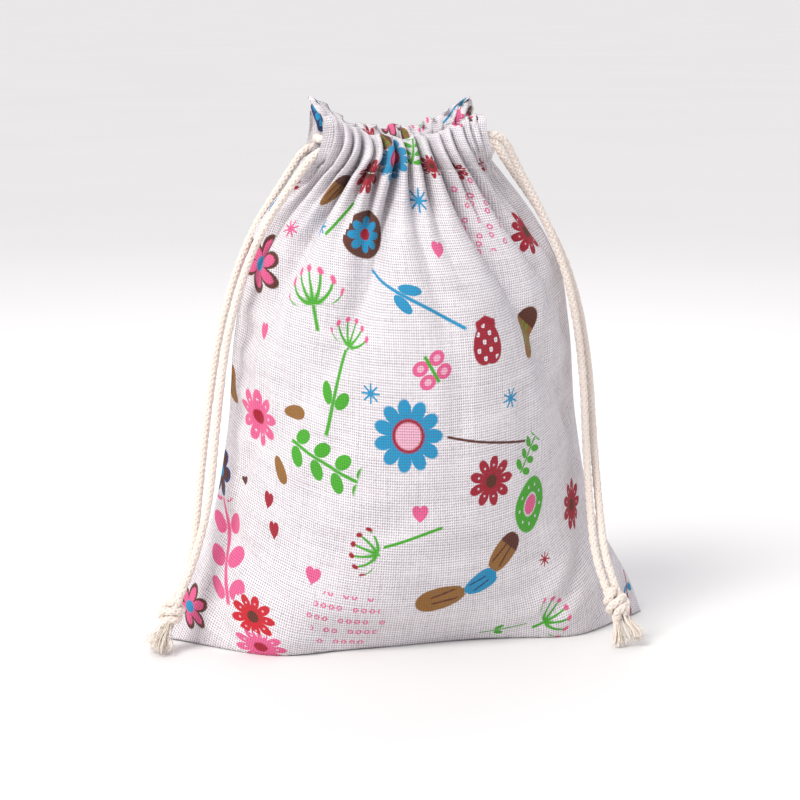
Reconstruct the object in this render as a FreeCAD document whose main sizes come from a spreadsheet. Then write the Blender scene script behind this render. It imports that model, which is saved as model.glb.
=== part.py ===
import FreeCAD, Part
import math
import os
import Sketcher

# A gathered drawstring pouch of printed cotton-linen, standing upright on its base.
# Millimetres, +Z up, +X to the pouch's right, -Y its front. The origin is the middle of the base.
# Two cloth panels are seamed at the sides and along the bottom. Their folded top hems are
# tunnels, the casings, and two closed cord loops run through them, one drawn from each side.

DOC = FreeCAD.newDocument("drawstring_pouch")
Vec = FreeCAD.Vector

# Each level of the filled pouch: height, half width at the side seams, half depth at the middle.
LEVELS = {
    "base": (0, 99, 38),
    "foot": (12, 94, 46),
    "hip": (40, 79, 52),
    "belly": (80, 70.5, 54),
    "chest": (120, 67, 50),
    "shoulder": (147, 60, 41),
    "collar": (167, 46, 27),
    "neck": (182, 34, 17),
}

SIZES = {
    "fabric": 0.8,  # cloth thickness; a side seam allowance is two of these
    "floor_inset": 0.6,  # from a wall's outer face to the edge of the flat base inside it
    "allowance": 8,  # width of the seam allowances inside the pouch
    "corner_clip": 4,  # trimmed off each end of the bottom allowance
    "overlock_width": 1.2,  # thread over the raw edges of the allowances
    "overlock_proud": 0.3,  # that thread beyond the faces of the allowance
    "stitch_width": 0.5,  # thread of the hem's row of stitches
    "stitch_height": 0.6,
    "stitch_stop": 8,  # the hem's stitches end this far from the side slits
    "tack_length": 4,  # bar tack at the foot of each side slit
    "tack_width": 3.2,
    "tack_height": 1,
    "casing_gap": 2,  # from the panels' top edge to the casings
    "casing_height": 20,
    "casing_reach": 24,  # from the middle of the neck to each side slit
    "casing_lap": 4,  # each half of a casing passes the middle by this much
    "casing_clearance": 0.4,  # the left half gathers inside the right half
    "tunnel_offset": 12,  # from the middle plane to the cords in the casings
    "tunnel_clearance": 0.6,  # each side of a cord in the narrower half
    "cord_diameter": 3.2,
    "cord_pitch": 6,  # between the two cords in a casing
    "loop_reach": 34,  # to the turn of each loop round the far slit
    "bend_reach": 36.5,  # to where a cord turns down from its own slit to its tail
    "pivot_gap": 0.3,  # between a loop's end and the rounded start of its tail
    "knot_height": 10,
    "knot_radius": 4.7,
    "knot_flat": 3.9,  # radius of the knot's flat ends
    "tail_spacing": 1.9,  # from the knot's axis to each tail
    "tassel_length": 10,
    "tassel_radius": 2.7,
    "tassel_spread": 3.1,  # from the knot's axis to each tassel's end
}

# The routes of the free tails, from the swing axis beside the slit down to the knot.
# The last run of both tails of a side is parallel, because it gives the knot its axis.
TAILS = {
    "left_front": [
        (-44.5, -9.3, 179.8),
        (-60.0, -6.0, 157.0),
        (-71.0, -7.0, 124.0),
        (-76.0, -9.5, 88.0),
        (-79.5, -14.5, 57.0),
        (-86.6, -20.0, 34.6),
        (-93.3, -22.6, 20.3),
    ],
    "left_back": [
        (-44.5, 9.3, 179.8),
        (-61.0, 1.0, 157.5),
        (-72.5, -1.5, 125.0),
        (-78.5, -4.5, 89.0),
        (-83.0, -9.5, 58.0),
        (-86.8, -16.2, 34.0),
        (-93.5, -18.8, 19.7),
    ],
    "right_front": [
        (43.6, -7.7, 182.6),
        (54.0, -7.0, 163.0),
        (64.8, -8.0, 136.0),
        (69.2, -11.0, 104.0),
        (69.0, -18.0, 73.0),
        (68.5, -28.0, 49.5),
        (68.1, -37.2, 33.9),
        (71.6, -43.9, 19.8),
    ],
    "right_back": [
        (43.6, 7.7, 182.6),
        (55.5, 1.5, 163.5),
        (67.0, -1.5, 137.0),
        (72.8, -5.0, 105.0),
        (73.6, -12.5, 74.0),
        (73.0, -24.5, 51.5),
        (71.7, -37.2, 34.8),
        (75.2, -43.9, 20.7),
    ],
}
SMALLEST_BEND = 3  # cord diameters, for a limp cotton cord

SHEET = DOC.addObject("Spreadsheet::Sheet", "Sizes")
PARTS = []


def fill_sheet():
    """One row for each driving dimension, with its name beside it."""
    cells = dict(SIZES)
    for level, values in LEVELS.items():
        for kind, value in zip(("height", "half_width", "half_depth"), values):
            cells[f"{level}_{kind}"] = value
    for row, (name, value) in enumerate(cells.items(), start=1):
        SHEET.set(f"A{row}", name)
        SHEET.set(f"B{row}", str(value))
        SHEET.setAlias(f"B{row}", name)
    DOC.recompute()


def size(name):
    return float(getattr(SHEET, name))


def keep(obj, label):
    """Names a finished sub-part. Its label is its file's name."""
    obj.Label = label
    PARTS.append(obj)
    return obj


def new_sketch(body, plane, offset=None):
    """A sketch on one of the body's own planes, lifted off it by an expression."""
    origin_plane = next(f for f in body.Origin.OriginFeatures if f.Role == plane)
    sketch = body.newObject("Sketcher::SketchObject", "Sketch")
    sketch.AttachmentSupport = [(origin_plane, "")]
    sketch.MapMode = "FlatFace"
    if offset:
        sketch.setExpression("AttachmentOffset.Base.z", offset)
    return sketch


def drive(sketch, kind, *what, name, value, text):
    """A named dimension of a sketch, tied to the sheet by text."""
    index = sketch.addConstraint(Sketcher.Constraint(kind, *what, value))
    sketch.renameConstraint(index, name)
    sketch.setExpression(f"Constraints.{name}", text)


def arc_radius(level):
    """The radius of a panel's outer face at a level, as a number and as an expression."""
    half_width = size(f"{level}_half_width")
    rise = size(f"{level}_half_depth") - size("fabric")
    rise_text = f"(Sizes.{level}_half_depth - Sizes.fabric)"
    text = f"(Sizes.{level}_half_width ^ 2 + {rise_text} ^ 2) / (2 * {rise_text})"
    return (half_width**2 + rise**2) / (2 * rise), text


def centre_arc(sketch, arc, level, side):
    """Puts an arc's centre where the panel's own arc at a level has it."""
    radius, radius_text = arc_radius(level)
    sketch.addConstraint(Sketcher.Constraint("PointOnObject", arc, 3, -2))
    ends = ((-1, 1), (arc, 3)) if side < 0 else ((arc, 3), (-1, 1))
    drive(sketch, "DistanceY", *ends[0], *ends[1], name="middle",
          value=radius - size(f"{level}_half_depth"), text=f"{radius_text} - Sizes.{level}_half_depth")


def add_arc(sketch, middle, side, arc_size, half_turn):
    """An arc about the sketch's vertical axis, bulging to the panel's side."""
    facing = side * math.pi / 2
    circle = Part.Circle(Vec(0, middle, 0), Vec(0, 0, 1), arc_size)
    return sketch.addGeometry(Part.ArcOfCircle(circle, facing - half_turn, facing + half_turn))


def chord_turn(middle, side, arc_size):
    """Half the turn of an arc that ends on its panel's edge, beside the middle plane."""
    return math.acos((size("fabric") - side * middle) / arc_size)


def panel_section(sketch, level, side):
    """A panel at one level: an arc from seam to seam, one fabric thick. The front's side is -1."""
    radius, radius_text = arc_radius(level)
    half_width, fabric = size(f"{level}_half_width"), size("fabric")
    middle = side * (size(f"{level}_half_depth") - radius)
    inner_radius = radius - fabric
    outer = add_arc(sketch, middle, side, radius, chord_turn(middle, side, radius))
    inner = add_arc(sketch, middle, side, inner_radius, chord_turn(middle, side, inner_radius))
    right, left = (2, 1) if side < 0 else (1, 2)
    sketch.addConstraint(Sketcher.Constraint("PointOnObject", outer, 3, -2))
    sketch.addConstraint(Sketcher.Constraint("Coincident", inner, 3, outer, 3))
    drive(sketch, "DistanceX", -1, 1, outer, right, name="half_width", value=half_width,
          text=f"Sizes.{level}_half_width")
    ends = ((outer, right), (-1, 1)) if side < 0 else ((-1, 1), (outer, right))
    drive(sketch, "DistanceY", *ends[0], *ends[1], name="chord", value=fabric, text="Sizes.fabric")
    drive(sketch, "Radius", outer, name="outer_radius", value=radius, text=radius_text)
    drive(sketch, "Radius", inner, name="inner_radius", value=inner_radius,
          text=f"{radius_text} - Sizes.fabric")
    inner_reach = math.sqrt(inner_radius**2 - (side * fabric - middle) ** 2)
    for end, sign in ((right, 1), (left, -1)):
        corners = (Vec(sign * half_width, side * fabric, 0), Vec(sign * inner_reach, side * fabric, 0))
        edge = sketch.addGeometry(Part.LineSegment(*corners))
        sketch.addConstraint(Sketcher.Constraint("Coincident", edge, 1, outer, end))
        sketch.addConstraint(Sketcher.Constraint("Coincident", edge, 2, inner, end))
        sketch.addConstraint(Sketcher.Constraint("Horizontal", edge))


def floor_section(sketch, side):
    """A panel's half of the base, out to within the thickness of its wall."""
    radius, radius_text = arc_radius("base")
    arc_size, fabric = radius - size("floor_inset"), size("fabric")
    middle = side * (size("base_half_depth") - radius)
    arc = add_arc(sketch, middle, side, arc_size, chord_turn(middle, side, arc_size))
    centre_arc(sketch, arc, "base", side)
    drive(sketch, "Radius", arc, name="edge", value=arc_size, text=f"{radius_text} - Sizes.floor_inset")
    reach = math.sqrt(arc_size**2 - (side * fabric - middle) ** 2)
    right, left = (2, 1) if side < 0 else (1, 2)
    line = sketch.addGeometry(Part.LineSegment(Vec(-reach, side * fabric, 0), Vec(reach, side * fabric, 0)))
    sketch.addConstraint(Sketcher.Constraint("Coincident", line, 1, arc, left))
    sketch.addConstraint(Sketcher.Constraint("Coincident", line, 2, arc, right))
    sketch.addConstraint(Sketcher.Constraint("Horizontal", line))
    ends = ((line, 2), (-1, 1)) if side < 0 else ((-1, 1), (line, 2))
    drive(sketch, "DistanceY", *ends[0], *ends[1], name="chord", value=fabric, text="Sizes.fabric")


def rectangle(sketch, low, high, texts):
    """A rectangle between two corners. texts ties left, right, bottom and top to the sheet."""
    (x0, y0), (x1, y1) = low, high
    corners = [Vec(x0, y0, 0), Vec(x1, y0, 0), Vec(x1, y1, 0), Vec(x0, y1, 0)]
    first = sketch.GeometryCount
    for start, end in zip(corners, corners[1:] + corners[:1]):
        sketch.addGeometry(Part.LineSegment(start, end))
    for step in range(4):
        joined = Sketcher.Constraint("Coincident", first + step, 2, first + (step + 1) % 4, 1)
        sketch.addConstraint(joined)
        flat = "Horizontal" if step % 2 == 0 else "Vertical"
        sketch.addConstraint(Sketcher.Constraint(flat, first + step))
    places = (("DistanceX", 1, x0), ("DistanceX", 2, x1), ("DistanceY", 1, y0), ("DistanceY", 2, y1))
    edges = (first, first, first, first + 1)
    for (kind, end, value), edge, text, label in zip(places, edges, texts, "abcd"):
        drive(sketch, kind, -1, 1, edge, end, name=f"{label}{first}", value=value, text=text)


def loft(body, sketches):
    shape = body.newObject("PartDesign::AdditiveLoft", "Loft")
    shape.Profile = sketches[0]
    shape.Sections = sketches[1:]
    for sketch in sketches:
        sketch.Visibility = False
    return shape


def pad(body, sketch, length):
    """A pad of a sketch by an expression."""
    shape = body.newObject("PartDesign::Pad", "Pad")
    shape.Profile = sketch
    shape.setExpression("Length", length)
    return shape


def panel(label, side):
    """A cloth panel from its bottom seam round the belly to the neck, with its half of the base."""
    body = DOC.addObject("PartDesign::Body", label)
    sections = []
    for level in LEVELS:
        sketch = new_sketch(body, "XY_Plane", f"Sizes.{level}_height")
        panel_section(sketch, level, side)
        sections.append(sketch)
    loft(body, sections)
    floor = new_sketch(body, "XY_Plane", "Sizes.base_height")
    floor_section(floor, side)
    pad(body, floor, "Sizes.fabric")
    return keep(body, label)


def side_strip(label, side, outer, width, thickness):
    """A strip inside a side seam, lofted up the pouch in the middle plane.

    outer is its distance in from the panels' edge. All three sizes are expressions.
    """
    body = DOC.addObject("PartDesign::Body", label)
    sections = []
    for level in LEVELS:
        sketch = new_sketch(body, "XY_Plane", f"Sizes.{level}_height")
        out = f"{side} * (Sizes.{level}_half_width - ({outer}))"
        deep = f"{side} * (Sizes.{level}_half_width - ({outer}) - ({width}))"
        x_low, x_high = (deep, out) if side > 0 else (out, deep)
        half = f"({thickness})"
        texts = (x_low, x_high, f"-{half}", half)
        values = [number(text) for text in texts]
        rectangle(sketch, (values[0], values[2]), (values[1], values[3]), texts)
        sections.append(sketch)
    loft(body, sections)
    return keep(body, label)


def trim_foot(body):
    """Cuts a strip off at the foot level, clear of the base."""
    sketch = new_sketch(body, "XY_Plane", "Sizes.foot_height")
    texts = ("-Sizes.base_half_width", "Sizes.base_half_width", "-Sizes.allowance", "Sizes.allowance")
    values = [number(text) for text in texts]
    rectangle(sketch, (values[0], values[2]), (values[1], values[3]), texts)
    cut = body.newObject("PartDesign::Pocket", "Pocket")
    cut.Profile = sketch
    cut.setExpression("Length", "Sizes.foot_height - Sizes.base_height")


def number(text):
    """The value of an expression on the sheet."""
    return float(SHEET.evalExpression(text.replace("Sizes.", "")))


def block(label, plane, texts, height, offset=None):
    """A rectangular pad on one of the body's planes."""
    body = DOC.addObject("PartDesign::Body", label)
    sketch = new_sketch(body, plane, offset)
    values = [number(text) for text in texts]
    rectangle(sketch, (values[0], values[2]), (values[1], values[3]), texts)
    pad(body, sketch, height)
    return keep(body, label)


def bottom_strip(label, low, high, thickness):
    """A strip standing on the base's middle line, between the two corners' trimmed ends."""
    corner = "min(Sizes.base_half_width; Sizes.foot_half_width)"
    reach = f"({corner} - Sizes.allowance - Sizes.corner_clip)"
    texts = (f"-{reach}", reach, f"-({thickness})", thickness)
    return block(label, "XY_Plane", texts, f"{high} - ({low})", offset=low)


def bar_tack(label, side):
    """The thread bar that closes the foot of a side slit, on top of the side seam."""
    out, inner = "Sizes.neck_half_width", "(Sizes.neck_half_width - Sizes.tack_length)"
    across = (inner, out) if side > 0 else (f"-{out}", f"-{inner}")
    texts = (*across, "-Sizes.tack_width / 2", "Sizes.tack_width / 2")
    return block(label, "XY_Plane", texts, "Sizes.tack_height", offset="Sizes.neck_height")


def hem_stitching(label, side):
    """The row of stitches that closes a casing, along the top edge of its panel."""
    body = DOC.addObject("PartDesign::Body", label)
    sketch = new_sketch(body, "XY_Plane", "Sizes.neck_height")
    radius, radius_text = arc_radius("neck")
    middle = side * (size("neck_half_depth") - radius)
    reach = size("neck_half_width") - size("stitch_stop")
    inset_text = "(Sizes.fabric - Sizes.stitch_width) / 2"
    outer_size = radius - number(inset_text)
    inner_size = outer_size - size("stitch_width")
    outer, inner = (
        add_arc(sketch, middle, side, arc_size, math.asin(reach / arc_size))
        for arc_size in (outer_size, inner_size)
    )
    centre_arc(sketch, outer, "neck", side)
    sketch.addConstraint(Sketcher.Constraint("Coincident", outer, 3, inner, 3))
    outer_text = f"{radius_text} - {inset_text}"
    drive(sketch, "Radius", outer, name="outer_radius", value=outer_size, text=outer_text)
    drive(sketch, "Radius", inner, name="inner_radius", value=inner_size,
          text=f"{outer_text} - Sizes.stitch_width")
    right, left = (2, 1) if side < 0 else (1, 2)
    for end, sign in ((right, 1), (left, -1)):
        corners = [
            Vec(sign * reach, middle + side * math.sqrt(arc_size**2 - reach**2), 0)
            for arc_size in (outer_size, inner_size)
        ]
        edge = sketch.addGeometry(Part.LineSegment(*corners))
        sketch.addConstraint(Sketcher.Constraint("Coincident", edge, 1, outer, end))
        sketch.addConstraint(Sketcher.Constraint("Coincident", edge, 2, inner, end))
        sketch.addConstraint(Sketcher.Constraint("Vertical", edge))
        ends = ((-1, 1), (outer, end)) if sign > 0 else ((outer, end), (-1, 1))
        drive(sketch, "DistanceX", *ends[0], *ends[1], name=f"reach{end}", value=reach,
              text="Sizes.neck_half_width - Sizes.stitch_stop")
    pad(body, sketch, "Sizes.stitch_height")
    return keep(body, label)


def casing_half(label, side, slit_side):
    """Half of a hem tunnel, open at both ends. The left half gathers inside the right half."""
    body = DOC.addObject("PartDesign::Body", label)
    sketch = new_sketch(body, "YZ_Plane", "-Sizes.casing_lap" if slit_side > 0 else "-Sizes.casing_reach")
    narrow = "Sizes.cord_diameter / 2 + Sizes.tunnel_clearance"
    inner_bottom = "Sizes.neck_height + Sizes.casing_gap + 2 * Sizes.fabric + Sizes.casing_clearance"
    walls = [narrow, f"{narrow} + Sizes.fabric"]
    bottoms = [inner_bottom, f"{inner_bottom} - Sizes.fabric"]
    if slit_side > 0:
        walls = [f"{wall} + Sizes.fabric + Sizes.casing_clearance" for wall in walls]
        bottoms = [f"{bottom} - Sizes.fabric - Sizes.casing_clearance" for bottom in bottoms]
    total = "2 * (Sizes.neck_height + Sizes.casing_gap) + Sizes.casing_height"
    for wall, bottom in zip(walls, bottoms):
        texts = (
            f"{side} * Sizes.tunnel_offset - ({wall})",
            f"{side} * Sizes.tunnel_offset + ({wall})",
            bottom,
            f"{total} - ({bottom})",
        )
        values = [number(text) for text in texts]
        rectangle(sketch, (values[0], values[2]), (values[1], values[3]), texts)
    pad(body, sketch, "Sizes.casing_reach + Sizes.casing_lap")
    return keep(body, label)


def route_edges(points, label):
    """Straight runs joined by arcs as large as their runs allow, and the smallest arc's radius."""
    edges, start, radii = [], points[0], []
    for before, corner, after in zip(points, points[1:], points[2:]):
        arrive, leave = corner - before, after - corner
        turn = arrive.getAngle(leave)
        shorter = min(arrive.Length, leave.Length)
        radius = 0.45 * shorter / math.tan(turn / 2)
        trim = radius * math.tan(turn / 2)
        arrive.normalize()
        leave.normalize()
        first, last = corner - arrive * trim, corner + leave * trim
        inward = leave - arrive
        inward.normalize()
        middle = corner + inward * (radius / math.cos(turn / 2) - radius)
        edges.append(Part.LineSegment(start, first).toShape())
        edges.append(Part.Arc(first, middle, last).toShape())
        start = last
        radii.append(radius)
    edges.append(Part.LineSegment(start, points[-1]).toShape())
    rounded = ", ".join(f"{radius:.1f}" for radius in radii)
    print(f"{label}: bend radii {rounded} mm")
    if min(radii) < SMALLEST_BEND * size("cord_diameter"):
        raise ValueError(f"{label} bends too tightly")
    return edges


def cord_tube(points, label):
    """A round cord along a route, with its volume held against its section times its length."""
    edges = route_edges(points, label)
    path = Part.Wire(edges)
    direction = points[1] - points[0]
    section = Part.Wire(Part.makeCircle(size("cord_diameter") / 2, points[0], direction))
    tube = path.makePipeShell([section], True, False)
    expected = math.pi * size("cord_diameter") ** 2 / 4 * path.Length
    print(f"{label}: {path.Length:.1f} mm long, volume {tube.Volume / expected:.4f} of its own")
    if abs(tube.Volume / expected - 1) > 0.01:
        raise ValueError(f"{label} has the wrong volume")
    return tube


def solid_part(shape, label):
    feature = DOC.addObject("Part::Feature", label)
    feature.Shape = shape
    feature.Placement = FreeCAD.Placement()
    return keep(feature, label)


def cord_height(side):
    """The height of a side's cord in the casings: the left cord is the lower one."""
    middle = size("neck_height") + size("casing_gap") + size("casing_height") / 2
    return middle + side * size("cord_pitch") / 2


def cord_loop(label, side):
    """The held part of a cord: in by one casing, round the far slit, and out by the other."""
    height, depth, far = cord_height(side), size("tunnel_offset"), -side * size("loop_reach")
    name = "left" if side < 0 else "right"
    ends = []
    for tail, edge in ((f"{name}_front", -1), (f"{name}_back", 1)):
        bend = Vec(side * size("bend_reach"), edge * depth, height)
        run = Vec(*TAILS[tail][0]) - bend
        short = run.Length - size("cord_diameter") / 2 - size("pivot_gap")
        run.normalize()
        ends.append((bend, bend + run * short))
    (front_bend, front_end), (back_bend, back_end) = ends
    turn = [Vec(far, -depth, height), Vec(far, depth, height)]
    points = [front_end, front_bend, *turn, back_bend, back_end]
    return solid_part(cord_tube(points, label), label)


def cord_tail(label, route):
    """A free tail. Its upper end is rounded about the axis that it swings on."""
    points = [Vec(*point) for point in TAILS[route]]
    tube = cord_tube(points, label)
    ball = Part.makeSphere(size("cord_diameter") / 2, points[0])
    return solid_part(tube.fuse(ball).removeSplitter(), label)


def knot_frame(name):
    """The middle of a knot's top, its axis towards the tassels, and the way across its tails."""
    front, back = ([Vec(*p) for p in TAILS[f"{name}_{strand}"]] for strand in ("front", "back"))
    top = (front[-1] + back[-1]) * 0.5
    axis = front[-1] - front[-2]
    across = front[-1] - back[-1]
    return top, axis.normalize(), across.normalize()


def knot(label, name):
    """An overhand knot of both tails, as a barrel with flat ends."""
    top, axis, across = knot_frame(name)
    height, radius, flat = size("knot_height"), size("knot_radius"), size("knot_flat")
    upper, lower = Vec(flat, 0, 0), Vec(flat, 0, height)
    outline = [
        Part.LineSegment(Vec(0, 0, 0), upper).toShape(),
        Part.Arc(upper, Vec(radius, 0, height / 2), lower).toShape(),
        Part.LineSegment(lower, Vec(0, 0, height)).toShape(),
        Part.LineSegment(Vec(0, 0, height), Vec(0, 0, 0)).toShape(),
    ]
    barrel = Part.Face(Part.Wire(outline)).revolve(Vec(0, 0, 0), Vec(0, 0, 1), 360)
    return placed(barrel, label, top, axis, across)


def tassel(label, name, strand):
    """The unravelled end of a tail below its knot, flaring away from the other tassel."""
    top, axis, across = knot_frame(name)
    start = strand * size("tail_spacing")
    end = strand * size("tassel_spread")
    foot = size("knot_height")
    circles = [
        Part.Wire(Part.makeCircle(size("cord_diameter") / 2, Vec(start, 0, foot))),
        Part.Wire(Part.makeCircle(size("tassel_radius"), Vec(end, 0, foot + size("tassel_length")))),
    ]
    return placed(Part.makeLoft(circles, True, True), label, top, axis, across)


def placed(shape, label, top, axis, across):
    """A sub-part drawn about +Z and moved onto a knot's frame."""
    feature = DOC.addObject("Part::Feature", label)
    feature.Shape = shape
    turn = FreeCAD.Rotation(across, axis.cross(across), axis, "ZXY")
    feature.Placement = FreeCAD.Placement(top, turn)
    return keep(feature, label)


def build():
    fill_sheet()
    sides = {"left": -1, "right": 1}
    faces = {"front": -1, "back": 1}
    fabric = "Sizes.fabric"
    thread = "Sizes.fabric + Sizes.overlock_proud"
    for face, side in faces.items():
        panel(f"{face}_panel", side)
        hem_stitching(f"{face}_hem_stitching", side)
    for name, side in sides.items():
        side_strip(f"{name}_side_seam", side, "0", "Sizes.allowance", fabric)
        overlock = side_strip(f"{name}_seam_overlock", side, "Sizes.allowance",
                              "Sizes.overlock_width", thread)
        trim_foot(overlock)
        bar_tack(f"{name}_bar_tack", side)
    bottom_strip("bottom_seam", "Sizes.base_height", "Sizes.allowance", fabric)
    bottom_strip("bottom_seam_overlock", "Sizes.allowance",
                 "Sizes.allowance + Sizes.overlock_width", thread)
    for face, side in faces.items():
        for name, slit_side in sides.items():
            casing_half(f"{face}_casing_{name}", side, slit_side)
    for name, side in sides.items():
        cord_loop(f"{name}_cord_loop", side)
        for face, strand in (("front", 1), ("back", -1)):
            cord_tail(f"{name}_{face}_tail", f"{name}_{face}")
            tassel(f"{name}_{face}_tassel", name, strand)
        knot(f"{name}_knot", name)


def check():
    """Stops before anything is written if an object failed or a sub-part isn't one sound solid."""
    DOC.recompute()
    for obj in DOC.Objects:
        if "Invalid" in obj.State or "Error" in obj.State:
            raise ValueError(f"{obj.Label} failed")
    for obj in PARTS:
        if obj.Shape.isNull() or not obj.Shape.isValid() or len(obj.Shape.Solids) != 1:
            raise ValueError(f"{obj.Label} is not one sound solid")


def write():
    os.makedirs("parts", exist_ok=True)
    for obj in PARTS:
        obj.Shape.exportStep(f"parts/{obj.Label}.step")


build()
check()
write()
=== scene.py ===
import math
import random

import bmesh
import bpy
import numpy as np
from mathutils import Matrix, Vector


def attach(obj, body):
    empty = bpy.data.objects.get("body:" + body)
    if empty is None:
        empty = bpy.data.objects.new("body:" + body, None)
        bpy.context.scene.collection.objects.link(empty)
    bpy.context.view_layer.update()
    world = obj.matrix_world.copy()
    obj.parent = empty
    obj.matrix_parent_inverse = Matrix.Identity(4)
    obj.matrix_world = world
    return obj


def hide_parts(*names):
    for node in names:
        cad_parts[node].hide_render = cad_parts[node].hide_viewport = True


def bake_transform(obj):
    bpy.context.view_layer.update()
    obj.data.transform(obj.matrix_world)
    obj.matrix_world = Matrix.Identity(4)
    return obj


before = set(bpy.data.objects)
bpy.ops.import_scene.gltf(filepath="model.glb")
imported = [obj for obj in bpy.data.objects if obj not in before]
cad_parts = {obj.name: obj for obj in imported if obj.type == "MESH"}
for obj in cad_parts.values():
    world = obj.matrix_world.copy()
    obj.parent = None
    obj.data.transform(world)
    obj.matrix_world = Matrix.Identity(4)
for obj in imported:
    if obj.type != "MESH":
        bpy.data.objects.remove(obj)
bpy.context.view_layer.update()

# A gathered drawstring pouch of printed cotton-linen on a plain floor. Metres in the scene;
# the cloth's own coordinates, u across a panel and v up it from the bottom seam, are millimetres.

RNG = random.Random(11)
MM = 0.001

FLAT_HALF = 100.0  # half the flat width of a panel
RIM_V = 250.0  # the top fold
HEM_V = 274.0  # the hem's stitched edge, inside
SLIT_V = 226.0  # where the side seams end and the two casings part

INKS = {
    "none": (0.90, 0.88, 0.90),
    "crimson": (0.66, 0.0, 0.12),
    "red": (0.80, 0.03, 0.10),
    "pink": (0.93, 0.38, 0.58),
    "blush": (0.96, 0.72, 0.80),
    "sky": (0.06, 0.59, 0.78),
    "navy": (0.10, 0.22, 0.42),
    "green": (0.26, 0.68, 0.08),
    "tan": (0.60, 0.41, 0.14),
    "brown": (0.36, 0.17, 0.05),
    "white": (0.92, 0.90, 0.92),
}


def linear(rgb):
    """A colour as the renderer holds it, from its value on a screen."""
    return tuple(c / 12.92 if c <= 0.04045 else ((c + 0.055) / 1.055) ** 2.4 for c in rgb)


# ---------------------------------------------------------------- materials

def sum_of(operation, turned=False):
    """A method that adds one Math node. Turned takes the other value first."""
    def method(self, *others):
        values = (*others, self) if turned else (self, *others)
        return self._math(operation, *values)
    return method


class Num:
    """A socket that holds a number, or a vector, in a shader sum."""

    def __init__(self, finish, socket):
        self.finish, self.socket = finish, socket

    def _math(self, operation, *values, clamp=False):
        node = self.finish.node("ShaderNodeMath", dict(operation=operation, use_clamp=clamp),
                                {i: v for i, v in enumerate(values)})
        return Num(self.finish, node.outputs[0])

    __add__ = sum_of("ADD")
    __radd__ = sum_of("ADD", turned=True)
    __sub__ = sum_of("SUBTRACT")
    __rsub__ = sum_of("SUBTRACT", turned=True)
    __mul__ = sum_of("MULTIPLY")
    __rmul__ = sum_of("MULTIPLY", turned=True)
    __truediv__ = sum_of("DIVIDE")
    __rtruediv__ = sum_of("DIVIDE", turned=True)
    __abs__ = sum_of("ABSOLUTE")
    __pow__ = sum_of("POWER")
    __mod__ = sum_of("FLOORED_MODULO")
    sin = sum_of("SINE")
    cos = sum_of("COSINE")
    root = sum_of("SQRT")
    floor = sum_of("FLOOR")
    least = sum_of("MINIMUM")
    most = sum_of("MAXIMUM")
    above = sum_of("GREATER_THAN")
    below = sum_of("LESS_THAN")
    angle_from = sum_of("ARCTAN2")

    def within(self, edge, soft):
        """1 where this is less than edge, 0 where it is more, with a slope soft wide between."""
        return self._math("MULTIPLY_ADD", edge - self, 1 / soft, 0.5, clamp=True)

    def is_tile(self, number):
        return self._math("COMPARE", self, number, 0.5)



class Finish:
    """A material under construction: its nodes, and its one shader."""

    def __init__(self, name, **constants):
        self.material = bpy.data.materials.new(name)
        self.material.use_nodes = True
        self.tree = self.material.node_tree
        self.shader = self.tree.nodes["Principled BSDF"]
        self.set(**{key.replace("_", " "): value for key, value in constants.items()})

    def node(self, kind, settings=None, values=None):
        node = self.tree.nodes.new(kind)
        for key, value in (settings or {}).items():
            if key == "stops":
                self._stops(node.color_ramp, value)
            else:
                setattr(node, key, value)
        for key, value in (values or {}).items():
            self._feed(node.inputs[key], value)
        return node

    def _feed(self, socket, value):
        if isinstance(value, Num):
            self.tree.links.new(value.socket, socket)
        elif isinstance(value, bpy.types.NodeSocket):
            self.tree.links.new(value, socket)
        else:
            socket.default_value = value

    def _stops(self, ramp, stops):
        while len(ramp.elements) < len(stops):
            ramp.elements.new(1.0)
        for element, (place, color) in zip(ramp.elements, stops):
            element.position, element.color = place, (*color, 1.0)

    def set(self, **values):
        for key, value in values.items():
            self._feed(self.shader.inputs[key], value)

    def num(self, kind, settings=None, values=None):
        return Num(self, self.node(kind, settings, values).outputs[0])

    def mix(self, share, first, second):
        """Two colours mixed, as a socket."""
        node = self.node("ShaderNodeMix", dict(data_type="RGBA", clamp_factor=True),
                         {0: share, 6: self.color(first), 7: self.color(second)})
        return node.outputs[2]

    def color(self, value):
        return (*linear(value), 1.0) if isinstance(value, tuple) else value

    def uv(self, name):
        """The two numbers of a UV map."""
        node = self.node("ShaderNodeUVMap", dict(uv_map=name))
        split = self.node("ShaderNodeSeparateXYZ", values={0: node.outputs[0]})
        return Num(self, split.outputs[0]), Num(self, split.outputs[1])

    def attribute(self, name):
        return self.node("ShaderNodeAttribute", dict(attribute_name=name)).outputs[0]

    def vector(self, x, y, z=0.0):
        return self.node("ShaderNodeCombineXYZ", values={0: x, 1: y, 2: z}).outputs[0]

    def noise(self, vector, scale, detail=2.0, roughness=0.5):
        return self.num("ShaderNodeTexNoise", dict(noise_dimensions="3D"),
                        {"Vector": vector, "Scale": scale, "Detail": detail, "Roughness": roughness})

    def place(self):
        return self.node("ShaderNodeTexCoord").outputs["Object"]

    def bump(self, height, depth, strength):
        node = self.node("ShaderNodeBump",
                         values={"Height": height, "Distance": depth, "Strength": strength})
        self.set(Normal=node.outputs[0])


# ---------------------------------------------------------------- the printed cloth

TILE = 4.0  # each kind of motif has its own tile, four of its radii wide, in the print's UV map
KINDS = ["bloom", "daisy", "star", "umbel", "sprig", "heart", "berry", "rows", "bud", "wheel", "target",
         "stem", "twig", "moth", "aster"]
EDGE = 0.06  # softness of a printed edge, in a motif's radii


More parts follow.
